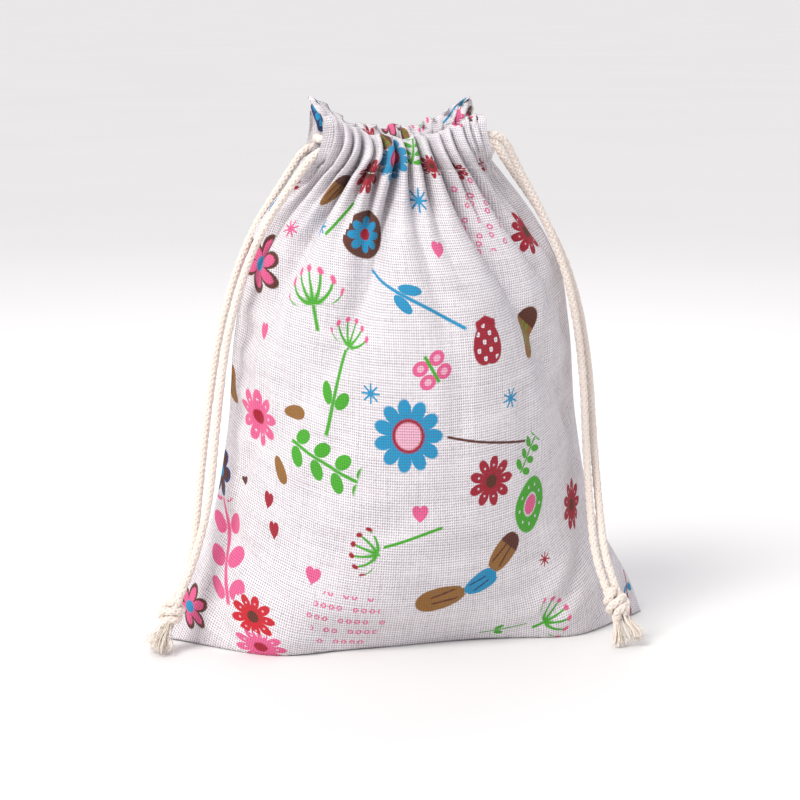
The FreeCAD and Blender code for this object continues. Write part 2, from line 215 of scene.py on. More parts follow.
def leaf_row(x, y, pitch):
    """Pairs of leaves up a stem, on a motif twice as long as it is wide."""
    step = ((y + 4.0) % pitch - pitch / 2) * 2
    out = abs(x) - 0.55
    along, away = out * 0.8 + step * 0.6, step * 0.8 - out * 0.6
    return ((along / 0.50)**2 + (away / 0.33)**2).root()


def motif_masks(x, y, wander):
    """The three inks of each kind of motif, over local coordinates that run from -1 to 1."""
    r = (x * x + y * y).root() + wander
    turn = y.angle_from(x)
    wide = abs(x)

    def ink(distance, edge, soft=EDGE):
        return distance.within(edge, soft)

    def lobes(count, low, high, round_end=0.6):
        """The radius of a flower's edge, from between its petals out to their tips."""
        return abs((turn * (count / 2)).cos())**round_end * (high - low) + low

    def spots(count, out, size):
        """A ring of round spots, that far out."""
        across = (turn * (count / 2)).sin() * r * (2 / count)
        return ink((across * across + (r - out) * (r - out)).root(), size, 0.05)

    bloom = [ink(r, lobes(9, 0.46, 1.0)), ink(r, 0.26), spots(9, 0.62, 0.04)]
    daisy = [ink(r, lobes(6, 0.50, 0.98, 0.8)), ink(r, lobes(6, 0.22, 0.80, 0.8)), ink(r, 0.24)]
    star = [ink(abs((turn * 4).sin()) * r, 0.34, 0.2) * ink(r, 0.98)]
    low_y = y + 0.55
    fan = (x * x + low_y * low_y).root()
    lean = x.angle_from(low_y) / (1.55 - fan * 0.43)
    spokes = abs((lean * 7).sin()) * fan
    upper = ink(-0.02 - low_y, 0.0)
    stalk = ink(wide, 0.075) * ink(low_y, 0.0)
    heads = (1 - (lean * 14).cos()) * 0.5
    tips = (heads * 0.0334 + (fan - 1.28)**2).root()
    reach = ink(abs(lean), 1.35)
    umbel = [(ink(spokes, 0.34, 0.25) * ink(fan, 1.28) * upper * reach).most(stalk),
             ink(tips, 0.13) * upper * reach]
    sprig = [ink(wide, 0.09).most(ink(leaf_row(x, y, 0.6), 1.0)) * ink(abs(y), 0.98)]
    heart = [ink((x * x * 1.15 + (y * 1.15 + 0.2 - wide.root() * 0.72)**2).root(), 0.86)]
    body = (x * x * 1.2 + (y * 0.95 + 0.12 + wide * 0.35)**2).root()
    seeds = ((x * 9).sin() * (y * 9).sin()).above(0.55)
    leaf_cap = ink(abs(y - 0.78 + wide * 0.4), 0.15) * ink(wide, 0.6)
    berry = [ink(body, 0.92), seeds * ink(body, 0.8), leaf_cap]
    row = (y * 1.5 + 0.5).floor()
    line_y = (y * 1.5 + 0.5) % 1.0 - 0.5
    along_row = x * 5.5 + row * 0.37
    line_x = along_row % 1.0 - 0.5
    ring = abs((line_x * line_x + line_y * line_y * (3.4 + (row * 2.1).sin() * 0.8)).root() - 0.27)
    left_out = (along_row.floor() * 2.4 + row * 1.7).sin().below(0.72)
    row_end = ink(abs(along_row - row * 0.37), 5.0 - abs(row) * 0.9, 0.3)
    rows = [ink(ring, 0.09, 0.12) * row_end * left_out]
    drop = (x * x * 1.7 + (y - x * x * 0.35)**2).root()
    bud = [ink(drop, 0.9), ink(abs(wide - 0.22 + y * 0.12), 0.05) * ink(drop, 0.66),
           ink(drop, 0.9) * ink(0.35 - y, 0.0)]
    wheel = [ink(r, 0.99), ink(r, lobes(8, 0.36, 0.76)), ink(r, 0.24)]
    target = [ink(r, 0.99), spots(9, 0.70, 0.05).most(ink(abs(r - 0.39), 0.04)), ink(r, 0.36)]
    bend = x + (y * 1.5).sin() * 0.16
    stem = [ink(abs(bend), 0.10) * ink(abs(y), 0.98)]
    twig_leaf = (((abs(bend) - 0.46) / 0.36)**2 + ((y - 0.30 + abs(bend) * 0.24) / 0.17)**2).root()
    twig = [stem[0], ink(twig_leaf, 1.0)]
    wing = (((wide - 0.50) / 0.44)**2 + ((abs(y + 0.05) - 0.36) / 0.34)**2).root()
    moth = [ink(wing, 1.0), ink(wing, 0.45), ink(wide, 0.09) * ink(abs(y), 0.7)]
    aster = [ink(r, lobes(11, 0.60, 1.0, 0.5)), ink(r, 0.42), ink(abs(r - 0.42), 0.05)]
    return dict(zip(KINDS, [bloom, daisy, star, umbel, sprig, heart, berry, rows, bud, wheel, target,
                            stem, twig, moth, aster]))


WARP_PITCH, WEFT_PITCH = 0.92, 1.05  # from yarn to yarn, across the panel and up it


def weave_height(finish, u, v):
    """Plain weave of uneven yarn: its height, the gaps between its yarns, and its slubs."""
    drift = finish.noise(finish.vector(u * 0.05, v * 0.05), 1.0, 1.0)
    warp_slub = finish.noise(finish.vector(u * 0.95, v * 0.035, 3.0), 1.0, 2.0, 0.6)
    weft_slub = finish.noise(finish.vector(u * 0.035, v * 0.95, 7.0), 1.0, 2.0, 0.6)
    warp = (u * (math.pi / WARP_PITCH) + drift * 3.0).sin()
    weft = (v * (math.pi / WEFT_PITCH) + drift * 2.4).sin()
    over = warp * weft
    height = (1 - abs(warp)) * -0.5 + (1 - abs(weft)) * -0.5 + over * 0.25
    slub = (warp_slub - 0.5) * 1.3 + (weft_slub - 0.5) * 1.4
    gap = (1 - abs(warp)) * (1 - abs(weft))
    return height + slub * 0.8, gap, slub


def printed_cloth():
    finish = Finish("Printed Cotton Linen", Roughness=0.92, Specular_IOR_Level=0.18, Sheen_Weight=0.12,
                    Sheen_Roughness=0.55)
    u, v = finish.uv("weave")
    height, gap, slub = weave_height(finish, u, v)
    print_x, y = finish.uv("print")
    tile = (print_x / TILE).floor()
    x = print_x - tile * TILE - TILE / 2
    bleed = finish.noise(finish.vector(u, v, 1.0), 1.6, 2.0) - 0.5
    masks = motif_masks(x + bleed * 0.05, y, bleed * 0.05)
    inks = [0.0, 0.0, 0.0]
    for number, kind in enumerate(KINDS):
        here = tile.is_tile(float(number))
        for layer, mask in enumerate(masks[kind]):
            inks[layer] = mask * here + inks[layer]
    fleck = finish.noise(finish.vector(u * 0.8, v * 0.8, 5.0), 1.0, 3.0, 0.7)
    stops = [(0.30, linear((0.78, 0.75, 0.77))), (0.46, linear((0.895, 0.872, 0.885))),
             (0.60, linear((0.945, 0.928, 0.940)))]
    grey = finish.node("ShaderNodeValToRGB", dict(stops=stops), {0: fleck * 0.62 + slub * 0.24 + 0.22})
    color = grey.outputs[0]
    worn = (height * 0.22 + 1.14).least(1.0).most(0.0)
    for layer, name in enumerate(("ink_first", "ink_second", "ink_third")):
        color = finish.mix(inks[layer].least(1.0) * worn * 0.99, color, finish.attribute(name))
    # painted shade: the base colour is darkened towards a shadow colour in the gaps between the yarns and
    # in the valleys of the weave
    open_weave = finish.noise(finish.vector(u * 0.045, v * 0.09, 9.0), 1.0, 3.0, 0.65)
    gap_shade = (gap * 4.2 * (open_weave * 1.9 - 0.25)).least(0.9).most(0.0)
    valley_shade = (height * -0.22).least(0.30).most(0.0)
    shadow = finish.mix(0.66, color, (0.33, 0.29, 0.34))
    finish.set(**{"Base Color": finish.mix(gap_shade.most(valley_shade), color, shadow)})
    finish.bump(height, 0.00022, 0.75)
    return finish.material


def lining_cloth():
    """The unprinted side of the same cloth."""
    finish = Finish("Cloth Inside", Roughness=0.95, Specular_IOR_Level=0.15, Sheen_Weight=0.2)
    u, v = finish.uv("weave")
    height, _, slub = weave_height(finish, u, v)
    stops = [(0.25, linear((0.74, 0.71, 0.72))), (0.65, linear((0.90, 0.88, 0.89)))]
    # uneven tone from the slubs, and painted shade: the valleys of the weave are darker
    shade = finish.node("ShaderNodeValToRGB", dict(stops=stops), {0: slub * 0.3 + height * 0.2 + 0.6})
    finish.set(**{"Base Color": shade.outputs[0]})
    finish.bump(height, 0.0002, 0.7)
    return finish.material


# each motif: kind, u and v of its middle, half width and half length in millimetres, turn in
# degrees, and one to three inks
MOTIFS = [
    # the ears and the mouth
    ("aster", -95, 260, 11, 10, 0, "navy", "sky", "crimson"),
    ("bud", -75, 260, 5, 6, 30, "brown", "tan", "brown"),
    ("wheel", 85, 255, 11, 8, 0, "brown", "pink", "crimson"),
    ("bloom", 65, 255, 9, 7, 0, "pink", "brown", "white"),
    ("bloom", 10, 260, 8, 7, 0, "pink", "crimson", "white"),
    # the gathered heading
    ("aster", -15, 235, 14, 13, 0, "sky", "pink", "crimson"),
    ("bloom", -35, 225, 9, 9, 15, "crimson", "brown", "blush"),
    ("sprig", 5, 240, 8, 9, -15, "green"),
    ("bud", -25, 245, 7, 8, -45, "tan", "green", "brown"),
    ("bloom", 20, 230, 6, 7, -15, "crimson", "brown", "blush"),
    ("bloom", 45, 225, 5, 5, -30, "crimson"),
    ("bloom", 80, 225, 6, 6, -30, "crimson"),
    # under the gathers
    ("bloom", -100, 210, 6, 6, 45, "crimson", "sky", "blush"),
    ("bud", -60, 215, 5, 9, -30, "tan", "brown", "brown"),
    ("stem", -45, 205, 8, 9, -45, "green"),
    ("star", -100, 200, 4, 4, 30, "sky"),
    ("star", -55, 200, 4, 4, 15, "sky"),
    ("wheel", -30, 200, 12, 10, 0, "brown", "sky", "crimson"),
    ("star", -75, 195, 4, 4, 30, "pink"),
    ("star", 5, 215, 5, 5, 0, "sky"),
    ("heart", 10, 195, 4, 4, -15, "pink"),
    ("rows", 45, 205, 19, 9, 75, "pink"),
    ("bloom", 80, 190, 10, 10, -15, "crimson", "brown", "blush"),
    # the shoulder
    ("daisy", -90, 175, 13, 13, 30, "brown", "pink", "sky"),
    ("umbel", -55, 175, 11, 11, 15, "green", "pink"),
    ("umbel", -35, 160, 8, 8, -15, "green", "pink"),
    ("twig", -5, 175, 7, 24, 60, "sky", "sky"),
    ("berry", 25, 160, 8, 9, 0, "crimson", "white", "crimson"),
    ("bud", 55, 155, 8, 12, -45, "tan", "green", "brown"),
    ("moth", 0, 150, 8, 8, 30, "pink", "blush", "green"),
    ("heart", -80, 150, 3, 4, 15, "pink"),
    # the middle
    ("twig", -40, 140, 8, 20, 165, "green", "green"),
    ("star", -25, 140, 4, 4, 0, "sky"),
    ("star", 35, 135, 4, 4, 15, "sky"),
    ("aster", -10, 125, 14, 14, 0, "sky", "blush", "crimson"),
    ("stem", 25, 120, 5, 20, -105, "brown"),
    ("bloom", -80, 115, 11, 11, 15, "pink", "crimson", "white"),
    ("bud", -100, 120, 6, 10, 30, "tan", "brown", "tan"),
    ("bud", -60, 125, 4, 6, -75, "tan", "tan", "tan"),
    ("bud", -65, 100, 4, 6, -150, "tan", "tan", "tan"),
    ("sprig", -45, 110, 8, 16, -105, "green"),
    ("bloom", 25, 105, 10, 10, 0, "crimson", "brown", "white"),
    ("sprig", 45, 110, 5, 8, -45, "green"),
    # the belly
    ("target", 45, 90, 8, 11, -15, "green", "white", "pink"),
    ("bud", 30, 75, 7, 10, -45, "tan", "brown", "brown"),
    ("bud", 20, 65, 6, 8, -60, "sky", "navy", "sky"),
    ("bud", 5, 60, 7, 11, 105, "tan", "brown", "tan"),
    ("heart", -70, 85, 3, 4, 0, "crimson"),
    ("heart", -65, 75, 3, 4, 15, "crimson"),
    ("heart", -85, 85, 2, 2, 30, "brown"),
    ("heart", -5, 95, 4, 4, 0, "pink"),
    ("heart", -45, 65, 4, 4, 0, "pink"),
    ("umbel", -25, 80, 8, 8, 75, "green", "crimson"),
    ("stem", -10, 85, 6, 15, -75, "green"),
    ("daisy", -100, 80, 8, 10, 15, "navy", "brown", "sky"),
    ("bloom", 75, 75, 7, 10, -15, "crimson", "brown", "blush"),
    ("star", 50, 65, 3, 3, -15, "crimson"),
    # the hem
    ("sprig", -85, 55, 9, 20, 30, "pink"),
    ("bloom", -65, 40, 9, 8, 15, "red", "brown", "blush"),
    ("bloom", -60, 30, 10, 7, 15, "pink", "crimson", "white"),
    ("rows", -30, 50, 17, 8, 0, "pink"),
    ("umbel", 50, 40, 8, 8, -75, "green", "pink"),
    ("twig", 30, 40, 3, 9, 90, "green", "green"),
    ("twig", 95, 15, 5, 9, -30, "crimson", "sky"),
    ("daisy", -90, 25, 9, 9, 45, "brown", "pink", "sky"),
]

# on the corners of the back casing that stand up beside the slits
BACK_HEM_MOTIFS = [
    ("wheel", -92, 255, 8, 7, 0, "navy", "sky", "crimson"),
    ("bloom", 92, 257, 9, 6, 20, "brown", "pink", "white"),
    ("bloom", 74, 257, 8, 6, 0, "pink", "blush", "white"),
    ("bud", 12, 256, 8, 5, 70, "tan", "green", "brown"),
]

BACK_ACROSS, BACK_UP = 87, 71  # how far the print is moved on the back panel
PRINT_UP = 262  # the height of the print, where the moved one starts again at the bottom


# ---------------------------------------------------------------- the cloth's shape

NECK_Z, MOUTH_Z = 182.0, 204.0  # where the casings start, and the CAD's top

# height, half width, half depth, fullness of the side, pinch of the seam, open end
SHAPE = np.array([
    (0.0, 99.0, 36.0, 2.6, 0.92, 0.0),
    (12.0, 94.5, 44.0, 2.4, 0.95, 0.0),
    (40.0, 79.5, 51.0, 2.3, 0.92, 0.0),
    (80.0, 70.5, 53.0, 2.3, 0.85, 0.0),
    (120.0, 67.0, 49.0, 2.3, 0.80, 0.0),
    (147.0, 62.0, 40.5, 2.3, 0.80, 0.0),
    (160.0, 56.5, 33.5, 2.4, 0.80, 0.0),
    (170.0, 49.5, 28.5, 2.6, 0.80, 0.5),
    (181.0, 40.0, 25.5, 3.0, 0.78, 4.0),
    (187.0, 34.5, 24.0, 3.6, 0.75, 9.0),
    (193.0, 31.5, 22.0, 4.4, 0.72, 13.0),
    (199.0, 30.8, 18.5, 4.8, 0.70, 13.0),
    (204.0, 32.0, 14.5, 4.8, 0.70, 11.0),
])

# each gather of a panel: where it is across the cloth, how wide, how deep at the neck,
# how far below the neck it fades, and how far it leans
FRONT_GATHERS = [
    (-92, 3.0, 8.0, 24, -3), (-80, 3.6, 10.6, 46, -7), (-66, 2.6, 8.0, 20, -7), (-53, 4.0, 12.6, 66, -10),
    (-39, 2.8, 9.0, 24, -5), (-27, 3.2, 11.5, 34, -4), (-12, 4.2, 13.6, 58, -9), (1, 2.8, 10.0, 30, 2),
    (14, 3.4, 12.0, 24, 2), (30, 4.0, 13.0, 80, 9), (44, 2.6, 8.6, 22, 6), (57, 3.4, 12.0, 56, 10),
    (72, 2.8, 9.0, 24, 6), (82, 3.2, 10.0, 40, 6), (93, 3.0, 8.0, 30, 4),
]
BACK_GATHERS = [
    (-92, 3.0, 8.0, 28, -3), (-79, 3.2, 11.0, 50, -7), (-64, 2.8, 9.0, 24, -6), (-50, 3.8, 12.0, 42, -8),
    (-37, 2.6, 9.0, 22, -4), (-24, 3.8, 13.0, 72, -7), (-9, 3.0, 10.0, 24, -2), (5, 3.8, 13.0, 46, 1),
    (18, 2.6, 9.0, 24, 3), (33, 3.8, 12.6, 76, 8), (47, 2.8, 9.6, 26, 6), (61, 3.4, 12.0, 54, 9),
    (75, 2.8, 10.0, 24, 6), (89, 3.2, 9.0, 38, 4),
]

# soft creases of the filled cloth: middle u and v, half length and half width, turn, depth
FRONT_CREASES = [
    (-82, 96, 62, 3.0, 86, 1.1), (84, 92, 50, 3.0, 94, 1.0), (-70, 150, 34, 3.5, 112, 1.0),
    (72, 152, 30, 3.5, 66, 0.9), (-60, 52, 40, 4.5, 150, 1.1), (58, 50, 38, 4.5, 32, 1.3),
    (-18, 46, 42, 5.0, 8, 0.9), (20, 58, 30, 4.5, 168, 0.7), (-38, 118, 36, 5.0, 70, 0.7),
    (44, 128, 34, 5.0, 112, 0.7), (8, 150, 40, 5.0, 96, 0.8), (82, 40, 26, 3.5, 52, 1.4),
    (-84, 40, 26, 3.5, 128, 1.2), (-8, 92, 30, 6.0, 24, 0.6), (38, 88, 32, 6.0, 160, 0.6),
]
BACK_CREASES = [(-u, v + 6, length, width, 180 - turn, depth)
                for u, v, length, width, turn, depth in FRONT_CREASES]


def smooth_levels(height):
    """Every column of SHAPE at each height, on smooth curves."""
    levels = SHAPE[:, 0]
    columns = []
    for k in range(1, SHAPE.shape[1]):
        values = SHAPE[:, k]
        slopes = np.gradient(values, levels)
        i = np.clip(np.searchsorted(levels, height, side="right") - 1, 0, len(levels) - 2)
        span = levels[i + 1] - levels[i]
        t = np.clip((height - levels[i]) / span, 0, 1)
        a, b = 2 * t**3 - 3 * t**2 + 1, t**3 - 2 * t**2 + t
        c, d = -2 * t**3 + 3 * t**2, t**3 - t**2
        columns.append(a * values[i] + b * span * slopes[i] + c * values[i + 1] + d * span * slopes[i + 1])
    return columns


def section_point(across, height):
    """A panel's place at a height: across runs from -1 at the left seam to 1 at the right."""
    half, depth, full, pinch, opened = smooth_levels(height)
    samples = np.linspace(0, 1, 65)
    x = np.sin(samples * math.pi / 2)[None, :] ** 0.9
    shape = (1 - x ** full[:, None]) ** pinch[:, None]
    y = opened[:, None] + (depth - opened)[:, None] * shape
    x = x * half[:, None]
    run = np.concatenate([np.zeros((len(height), 1)),
                          np.cumsum(np.hypot(np.diff(x, axis=1), np.diff(y, axis=1)), axis=1)], axis=1)
    target = np.abs(across) * run[:, -1]
    k = np.clip((run < target[:, None]).sum(axis=1) - 1, 0, 63)
    row = np.arange(len(height))
    part = (target - run[row, k]) / np.maximum(run[row, k + 1] - run[row, k], 1e-9)
    at_x = x[row, k] + part * (x[row, k + 1] - x[row, k])
    at_y = y[row, k] + part * (y[row, k + 1] - y[row, k])
    return np.sign(across) * at_x, at_y


def climb(across):
    """The cloth's run from the bottom seam to each height, over the base and up the wall."""
    heights = np.concatenate([np.linspace(0, NECK_Z, 70), np.linspace(NECK_Z + 1, MOUTH_Z, 22)])
    table = []
    for t in across:
        x, y = section_point(np.full(len(heights), t), heights)
        steps = np.sqrt(np.diff(x)**2 + np.diff(y)**2 + np.diff(heights)**2)
        table.append(y[0] + np.concatenate([[0], np.cumsum(steps)]))
    return heights, np.array(table)


ACROSS = np.linspace(-1, 1, 81)
HEIGHTS, RUNS = climb(ACROSS)


def rim_height(across, side):
    """The rim stands up at the slits and dips between them."""
    dip = 8.0 if side < 0 else 5.0
    waves = 0.7 * np.sin(across * 17 + side) + 0.5 * np.sin(across * 29 + 2 * side)
    return 203.4 - dip * (1 - across**2) ** 1.5 + waves * (1 - across**2) + ear(across, side)


def ear(across, side):
    """The casing's corners beside the slits stand up out of the gathers."""
    left, right = (1.5, 1.0) if side < 0 else (7.5, 6.5)
    corner = 1 - 0.65 * swell(1 - np.abs(across), 0.06)
    return corner * (left * swell(0.90 + across, 0.20) + right * swell(0.84 - across, 0.30))


def wall_place(across, v):
    """The height of each point of the cloth, and how far out over the base the lowest ones lie."""
    height = np.zeros(len(v))
    out = np.ones(len(v))
    column = (across + 1) / 2 * (len(ACROSS) - 1)
    low = np.clip(column.astype(int), 0, len(ACROSS) - 2)
    part = column - low
    for i in range(len(v)):
        runs = RUNS[low[i]] * (1 - part[i]) + RUNS[low[i] + 1] * part[i]
        scaled = runs * (RIM_V / runs[-1])
        if v[i] < scaled[0]:
            out[i] = v[i] / scaled[0]
        else:
            height[i] = np.interp(v[i], scaled, HEIGHTS)
    return height, out


def swell(distance, width):
    """A soft hump: 1 in its middle, nearly 0 at two widths."""
    return np.exp(-(distance / width) ** 2)


def relief(u, v, side):
    """How far the gathers and creases draw the cloth in, in millimetres."""
    depth = np.zeros(len(u))
    shift = np.zeros(len(u))
    for at, width, deep, fade, lean in FRONT_GATHERS if side < 0 else BACK_GATHERS:
        below = np.maximum(SLIT_V - 2 - v, 0)
        line = at + lean * (below / 40) * (1 + below / 90)
        wide = width * (1 + below / 45)
        strength = np.exp(-(below / fade) ** 1.6)
        away = u - line
        depth += deep * strength * np.exp(-np.abs(away / wide) ** 1.5)
        shift += -0.38 * away * strength * swell(away, wide * 2.0)
    for at_u, at_v, length, width, turn, deep in FRONT_CREASES if side < 0 else BACK_CREASES:
        c, s = math.cos(math.radians(turn)), math.sin(math.radians(turn))
        along, away = (u - at_u) * c + (v - at_v) * s, -(u - at_u) * s + (v - at_v) * c
        away = away + 3.0 * np.sin(along / 17 + at_u)
        fold = swell(away, width) - 0.55 * swell(away - 1.7 * width, width)
        fold = fold - 0.4 * swell(away + 1.8 * width, width)
        depth += deep * swell(along, length) * fold
    return depth, shift


def ripple(u, v, side):
    """Small unevenness of the cloth, strongest where the seams pucker it."""
    edge = swell(FLAT_HALF - np.abs(u), 16) * (v < SLIT_V)
    foot = swell(v, 14)
    calm = 0.22 * np.sin(u / 7.1 + 1.3 * side) * np.sin(v / 8.3 + 0.6)
    calm = calm + 0.3 * np.sin(u / 15.7 + v / 21 + side)
    pucker = 1.1 * edge * np.sin(v / 3.4 + 1.9 * np.sin(v / 21) + side)
    crumple = 0.8 * foot * np.sin(u / 4.2 + 1.5 * np.sin(u / 19) + side)
    return calm + pucker * np.clip((FLAT_HALF - np.abs(u)) / 4, 0, 1) + crumple * np.clip(v / 4, 0, 1)


def outwards(across, height):
    """The level direction square to a panel, away from the pouch's middle plane."""
    near = 0.4 / FLAT_HALF
    x2, y2 = section_point(np.clip(across + near, -1, 1), height)
    x1, y1 = section_point(np.clip(across - near, -1, 1), height)
    along_x, along_y = x2 - x1, y2 - y1
    size = np.maximum(np.hypot(along_x, along_y), 1e-9)
    out_x, out_y = -along_y / size, along_x / size
    flip = np.where(out_y < 0, -1, 1)
    return out_x * flip, out_y * flip


def pushed_out(u, v, folded, height, depth, side):
    """How far each point is moved outwards: gathers, ripples, and the casing's round puff."""
    free = np.where(v > SLIT_V, 1.0, np.clip((FLAT_HALF - np.abs(u)) / 9, 0, 1) ** 0.7)
    low = np.clip(height / 6, 0, 1)
    moved = (-depth + ripple(u, folded, side)) * free * low
    casing = np.clip((folded - SLIT_V + 6) / 8, 0, 1)
    up_casing = np.clip((folded - SLIT_V) / (RIM_V - SLIT_V), 0, 1)
    return moved + casing * CASING_PUFF * np.sin(math.pi * up_casing) * (v <= RIM_V)


CASING_PUFF = 2.0
LEAN = -2.2  # the neck stands a little to the left of the foot


def fullness_at_foot(x, side):
    """How much further the filled pouch bulges just above its base."""
    if side < 0:
        return 0.36 * swell(x + 62, 22) - 0.16 * swell(x - 15, 32) + 0.26 * swell(x - 66, 18)
    return 0.20 * swell(x + 60, 24) - 0.06 * swell(x, 30) + 0.20 * swell(x - 60, 22)


def shaped(u, v, side):
    """Where points of a panel's cloth are when the pouch is filled and drawn, in millimetres."""
    across = np.clip(u / FLAT_HALF, -1, 1)
    folded = np.minimum(v, 2 * RIM_V - v)
    height, out = wall_place(across, folded)
    depth, shift = relief(u, folded, side)
    across = np.clip(across + shift / FLAT_HALF * (1 - across**2), -1, 1)
    x, y = section_point(across, height)
    out_x, out_y = outwards(across, height)
    moved = pushed_out(u, v, folded, height, depth, side)
    # the rim, with the casing's corners flared beside the slits
    squeeze = np.clip((height - NECK_Z) / (MOUTH_Z - NECK_Z), 0, 1)
    height = height + squeeze * (rim_height(across, side) - MOUTH_Z)
    flare = np.clip((height - 192) / 12, 0, 1.6) ** 1.5 * ear(across, side) / 7
    x = x + np.sign(across) * flare * 2.6
    y = y + flare * 1.8
    x = x + out_x * moved
    y = y + out_y * moved
    # the casings leave room for the cords
    least = 9.8 + 5.0 * np.abs(across) ** 1.4
    clear = np.clip((folded - SLIT_V) / 5, 0, 1) * np.clip((RIM_V - folded) / 3, 0, 1)
    y = y + clear * (np.maximum(y, least + 0.15 * (y - least)) - y)
    lean = LEAN * np.clip((height - 140) / 20, 0, 1)
    y = y * (1 + fullness_at_foot(x, side) * swell(height, 26))
    x = x + lean
    y = y * out
    # the hem comes back down inside, behind the cords
    inner = 3.8 + 3.0 * across**2 + 0.13 * depth
    sink = np.clip((v - RIM_V) / 7, 0, 1) ** 0.6
    y = np.where(v > RIM_V, y * (1 - sink) + inner * sink, y)
    # nothing goes below the floor
    lift = 0.35 + 0.25 * np.sin(u / 9 + side) * out
    height = np.where(height < lift, lift, height)
    return np.stack([x, side * y, height], axis=1)


CLOTH_ACROSS, CLOTH_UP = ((160, 220))


def flat_panel(side):
    """A panel laid flat as a grid of cloth, with its own coordinates as its UV map."""
    bm = bmesh.new()
    uv = bm.loops.layers.uv.new("weave")
    bmesh.ops.create_grid(bm, x_segments=CLOTH_ACROSS, y_segments=CLOTH_UP, size=0.5, calc_uvs=False)
    bmesh.ops.scale(bm, vec=(2 * FLAT_HALF, HEM_V, 1), verts=bm.verts)
    bmesh.ops.translate(bm, vec=(0, HEM_V / 2, 0), verts=bm.verts)
    if side > 0:
        bmesh.ops.reverse_faces(bm, faces=bm.faces)
    for face in bm.faces:
        for loop in face.loops:
            loop[uv].uv = loop.vert.co.x, loop.vert.co.y
    return bm


def cloth_mesh(side, drawn):
    """A panel in its filled shape. drawn gives the places of its points from their u and v."""
    bm = flat_panel(side)
    bm.verts.ensure_lookup_table()
    flat = np.array([v.co for v in bm.verts])
    for vert, place in zip(bm.verts, drawn(flat[:, 0], flat[:, 1], side) * MM):
        vert.co = place
    return bm


def smooth_piece(name, mesh):
    """A finished mesh as an object at the origin, with smooth faces."""
    for face in mesh.polygons:
        face.use_smooth = True
    piece = bpy.data.objects.new(name, mesh)
    bpy.context.scene.collection.objects.link(piece)
    return piece


def new_piece(name, bm):
    mesh = bpy.data.meshes.new(name)
    bm.to_mesh(mesh)
    bm.free()
    return smooth_piece(name, mesh)


def back_motifs():
    """The front's print, moved across and up, and the back's own motifs."""
    moved = [(kind, (u + 100 + BACK_ACROSS) % 200 - 100, (v + BACK_UP) % PRINT_UP, *rest)
             for kind, u, v, *rest in MOTIFS]
    return moved + BACK_HEM_MOTIFS


def in_motif(points, motif):
    """Points of the cloth in a motif's own coordinates, which run from -1 to 1 over it."""
    u, v, half_wide, half_long, turn = motif[1:6]
    c, s = math.cos(math.radians(-turn)), math.sin(math.radians(-turn))
    du, dv = points[:, 0] - u, points[:, 1] - v
    return np.stack([(du * c - dv * s) / half_wide, (du * s + dv * c) / half_long], axis=1)


MOTIF_REACH = 1.42  # how far from a motif's middle its faces go, in its half sizes
UNPRINTED = 9.0  # further than any motif reaches


def printed(mesh, side):
    """Writes each face's motif, in the print's UV map, and its three inks."""
    weave = np.zeros(len(mesh.loops) * 2)
    mesh.uv_layers["weave"].data.foreach_get("uv", weave)
    weave = weave.reshape(-1, 2)
    face_of = np.repeat(np.arange(len(mesh.polygons)), 4)
    middle = weave.reshape(-1, 4, 2).mean(axis=1)
    best = np.full(len(middle), UNPRINTED)
    chosen = np.full(len(middle), -1)
    motifs = MOTIFS if side < 0 else back_motifs()
    for number, motif in enumerate(motifs):
        far = np.abs(in_motif(middle, motif)).max(axis=1)
        nearer = (far < MOTIF_REACH) & (far < best)
        best[nearer], chosen[nearer] = far[nearer], number
    uv = np.tile((-TILE / 2, 0.0), (len(weave), 1))
    colors = np.ones((3, len(weave), 4))
    of_loop = chosen[face_of]
    for number, motif in enumerate(motifs):
        mine = of_loop == number
        uv[mine] = in_motif(weave, motif)[mine] + ((KINDS.index(motif[0]) + 0.5) * TILE, 0)
        names = (*motif[6:], "none", "none")[:3]
        for layer, ink in enumerate(names):
            colors[layer][mine, :3] = linear(INKS[ink])
    mesh.uv_layers.new(name="print").data.foreach_set("uv", uv.ravel())
    for layer, name in enumerate(("ink_first", "ink_second", "ink_third")):
        ink = mesh.color_attributes.new(name, "FLOAT_COLOR", "CORNER")
        ink.data.foreach_set("color", colors[layer].ravel())


CLOTH_THICKNESS = 0.5 * MM


def gather_with(piece):
    """Cloth, and what is sewn to it, has its place baked into its mesh."""
    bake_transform(piece)


def cloth_piece(name, side, half, drawn):
    """One half of a panel with its casing, from the middle of the pouch to a side seam."""
    bm = cloth_mesh(side, drawn)
    uv = bm.loops.layers.uv["weave"]
    other = [f for f in bm.faces if sum(loop[uv].uv.x for loop in f.loops) * half < 0]
    bmesh.ops.delete(bm, geom=other, context="FACES")
    for edge in bm.edges:
        edge.smooth = not edge.is_boundary  # so the two halves shade as one cloth where they meet
    piece = new_piece(name, bm)
    printed(piece.data, side)
    for material in CLOTHS:
        piece.data.materials.append(material)
    wall = piece.modifiers.new("Cloth Thickness", "SOLIDIFY")
    wall.thickness, wall.offset = CLOTH_THICKNESS, -1
    wall.material_offset = 1
    gather_with(piece)
    return piece


# ---------------------------------------------------------------- cords

